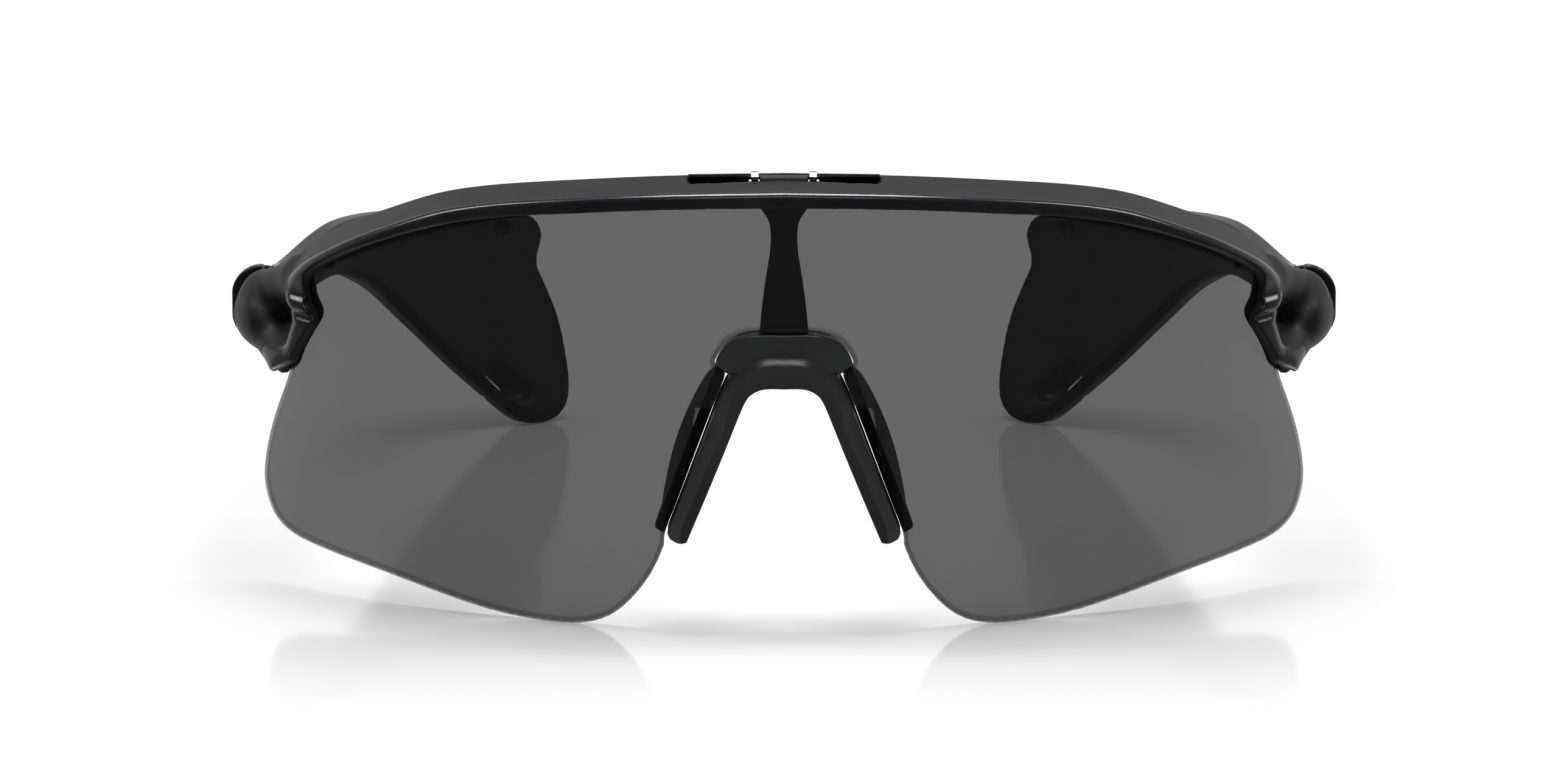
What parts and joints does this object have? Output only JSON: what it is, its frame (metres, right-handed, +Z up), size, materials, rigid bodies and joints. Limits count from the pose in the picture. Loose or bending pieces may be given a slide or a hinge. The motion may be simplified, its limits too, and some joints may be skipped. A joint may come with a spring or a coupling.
{
  "type": "wraparound sport sunglasses",
  "caption": "Wraparound sport sunglasses: a grey shield lens under a black half frame, a swing-out nose bridge, and folding temples that widen into fins with strap holes.",
  "frame": {"origin": "on the surface the glasses stand on, under the middle of their box", "axes": "+Z up, the front faces -Y, and the wearer's left is +X"},
  "size_m": [0.1472, 0.1546, 0.0588],
  "materials": {
    "lens_tint": "smooth grey tinted polycarbonate, polished",
    "frame_black": "satin black moulded nylon with a very fine grain",
    "temple_black": "satin black moulded nylon with a very fine grain",
    "grip_rubber": "matte black soft grip",
    "pad_rubber": "matte black soft rubber",
    "strut_satin": "satin dark grey moulded plastic",
    "bridge_grey": "satin dark grey moulded plastic",
    "spring_steel": "light satin steel",
    "hinge_steel": "turned and brushed steel",
    "disc_grey": "satin grey inlay"
  },
  "bodies": {
    "front": {"front_frame": "frame_black", "lens": "lens_tint", "pivot_bracket": "spring_steel", "pivot_pin": "hinge_steel", "frame_hinge_left": "hinge_steel", "frame_hinge_right": "hinge_steel"},
    "bridge": {"center_strut": "strut_satin", "nose_bridge": "bridge_grey", "nose_pad_left": "pad_rubber", "nose_pad_right": "pad_rubber"},
    "temple_left": {"temple_left": "temple_black", "temple_grip_left": "grip_rubber", "temple_hinge_left": "hinge_steel", "hinge_screw_left": "hinge_steel", "temple_disc_left": "disc_grey"},
    "temple_right": {"temple_right": "temple_black", "temple_grip_right": "grip_rubber", "temple_hinge_right": "hinge_steel", "hinge_screw_right": "hinge_steel", "temple_disc_right": "disc_grey"}
  },
  "joints": [
    {"name": "temple_left_fold", "type": "hinge", "parent": "front", "child": "temple_left", "pos_m": [0.0666, -0.0301, 0.0348], "axis": [0, 0, 1], "range_deg": [0, 90]},
    {"name": "temple_right_fold", "type": "hinge", "parent": "front", "child": "temple_right", "pos_m": [-0.0666, -0.0301, 0.0348], "axis": [0, 0, -1], "range_deg": [0, 68]},
    {"name": "bridge_swing", "type": "hinge", "parent": "front", "child": "bridge", "pos_m": [0, -0.0692, 0.0573], "axis": [1, 0, 0], "range_deg": [0, 20]}
  ]
}
